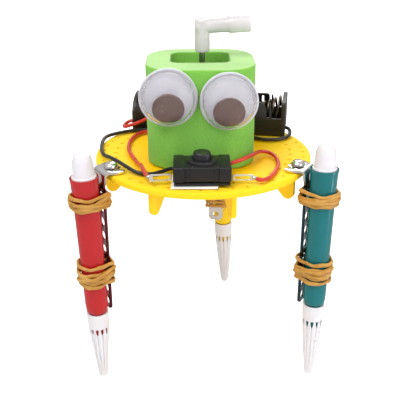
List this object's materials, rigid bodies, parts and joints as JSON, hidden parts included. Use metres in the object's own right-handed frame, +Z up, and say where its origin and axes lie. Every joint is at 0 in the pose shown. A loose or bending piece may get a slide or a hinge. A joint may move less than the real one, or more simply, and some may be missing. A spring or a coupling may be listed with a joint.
{
  "type": "three-legged drawing robot",
  "caption": "Small vibrating drawing robot: round disc on felt-tip pen legs, foam-held motor with an off-centre crank, push switch, battery holder and googly eyes.",
  "frame": {"origin": "centre of the footprint's bounding box, on the surface that the pens stand on", "axes": "+Z up; -Y is the front, where the eyes and the switch are; +X is the robot's left, the viewer's right"},
  "size_m": [0.09, 0.0882, 0.1257],
  "materials": {
    "disc_yellow": "satin",
    "foam_green": "matte",
    "motor_steel": "satin",
    "motor_nylon": "matte",
    "motor_iron": "matte",
    "magnet": "matte",
    "brass": "satin",
    "milky_tube": "satin",
    "steel_wire": "satin",
    "eye_white": "satin",
    "eye_clear": "gloss",
    "eye_black": "satin",
    "switch_black": "satin",
    "nickel": "satin",
    "tape_white": "matte",
    "holder_black": "satin",
    "red_plastic": "satin",
    "teal_plastic": "satin",
    "yellow_plastic": "satin",
    "cap_white": "satin",
    "felt": "matte",
    "band_rubber": "satin",
    "wire_red": "satin",
    "wire_black": "satin"
  },
  "bodies": {
    "body": {"band_red_lower": "band_rubber", "band_red_upper": "band_rubber", "band_teal_lower": "band_rubber", "band_teal_upper": "band_rubber", "band_yellow_lower": "band_rubber", "band_yellow_upper": "band_rubber", "battery_contact": "brass", "battery_holder": "holder_black", "battery_spring": "steel_wire", "bracket_red": "nickel", "bracket_screw_red": "nickel", "bracket_screw_teal": "nickel", "bracket_screw_yellow": "nickel", "bracket_teal": "nickel", "bracket_yellow": "nickel", "chassis_disc": "disc_yellow", "eye_left_back": "eye_white", "eye_left_dome": "eye_clear", "eye_right_back": "eye_white", "eye_right_dome": "eye_clear", "foam_body": "foam_green", "motor_bushing": "brass", "motor_can": "motor_steel", "motor_end_cap": "motor_nylon", "motor_magnet_left": "magnet", "motor_magnet_right": "magnet", "motor_terminal_left": "brass", "motor_terminal_right": "brass", "pen_barrel_red": "red_plastic", "pen_barrel_teal": "teal_plastic", "pen_barrel_yellow": "yellow_plastic", "pen_nib_red": "felt", "pen_nib_teal": "felt", "pen_nib_yellow": "felt", "pen_plug_red": "cap_white", "pen_plug_teal": "cap_white", "pen_plug_yellow": "cap_white", "pen_reservoir_red": "felt", "pen_reservoir_teal": "felt", "pen_reservoir_yellow": "felt", "switch_base": "switch_black", "switch_case": "switch_black", "switch_lug_left": "nickel", "switch_lug_right": "nickel", "switch_spring": "steel_wire", "switch_tape_pad": "tape_white", "wire_black": "wire_black", "wire_red_battery": "wire_red", "wire_red_motor": "wire_red"},
    "crank": {"motor_shaft": "motor_steel", "motor_armature": "motor_iron", "crank_elbow": "milky_tube", "crank_end_weight": "steel_wire"},
    "button": {"switch_button": "switch_black", "switch_contact": "brass"},
    "pupil_left": {"eye_left_pupil": "eye_black"},
    "pupil_right": {"eye_right_pupil": "eye_black"},
    "cap_red": {"pen_cap_red": "cap_white"},
    "cap_teal": {"pen_cap_teal": "cap_white"},
    "cap_yellow": {"pen_cap_yellow": "cap_white"}
  },
  "joints": [
    {"name": "crank_spin", "type": "hinge", "parent": "body", "child": "crank", "pos_m": [-0.00049, -0.00719, 0.09504], "axis": [0, 0, 1], "continuous": true},
    {"name": "button_press", "type": "slide", "parent": "body", "child": "button", "axis": [0, 0, -1], "range_m": [0, 0.0012], "stiffness_N_per_m": 400, "springref_m": -0.001, "deforming": ["switch_spring"]},
    {"name": "pupil_swing_left", "type": "hinge", "parent": "body", "child": "pupil_left", "pos_m": [-0.01154, -0.02789, 0.10329], "axis": [0, 1, 0], "continuous": true},
    {"name": "pupil_swing_right", "type": "hinge", "parent": "body", "child": "pupil_right", "pos_m": [0.00766, -0.02789, 0.10194], "axis": [0, 1, 0], "continuous": true},
    {"name": "cap_slide_red", "type": "slide", "parent": "body", "child": "cap_red", "axis": [0.0242, 0.0102, -0.9997], "range_m": [0, 0.04]},
    {"name": "cap_slide_teal", "type": "slide", "parent": "body", "child": "cap_teal", "axis": [-0.014, -0.0166, -0.9998], "range_m": [0, 0.04]},
    {"name": "cap_slide_yellow", "type": "slide", "parent": "body", "child": "cap_yellow", "axis": [0.0332, -0.0077, -0.9994], "range_m": [0, 0.04]}
  ]
}
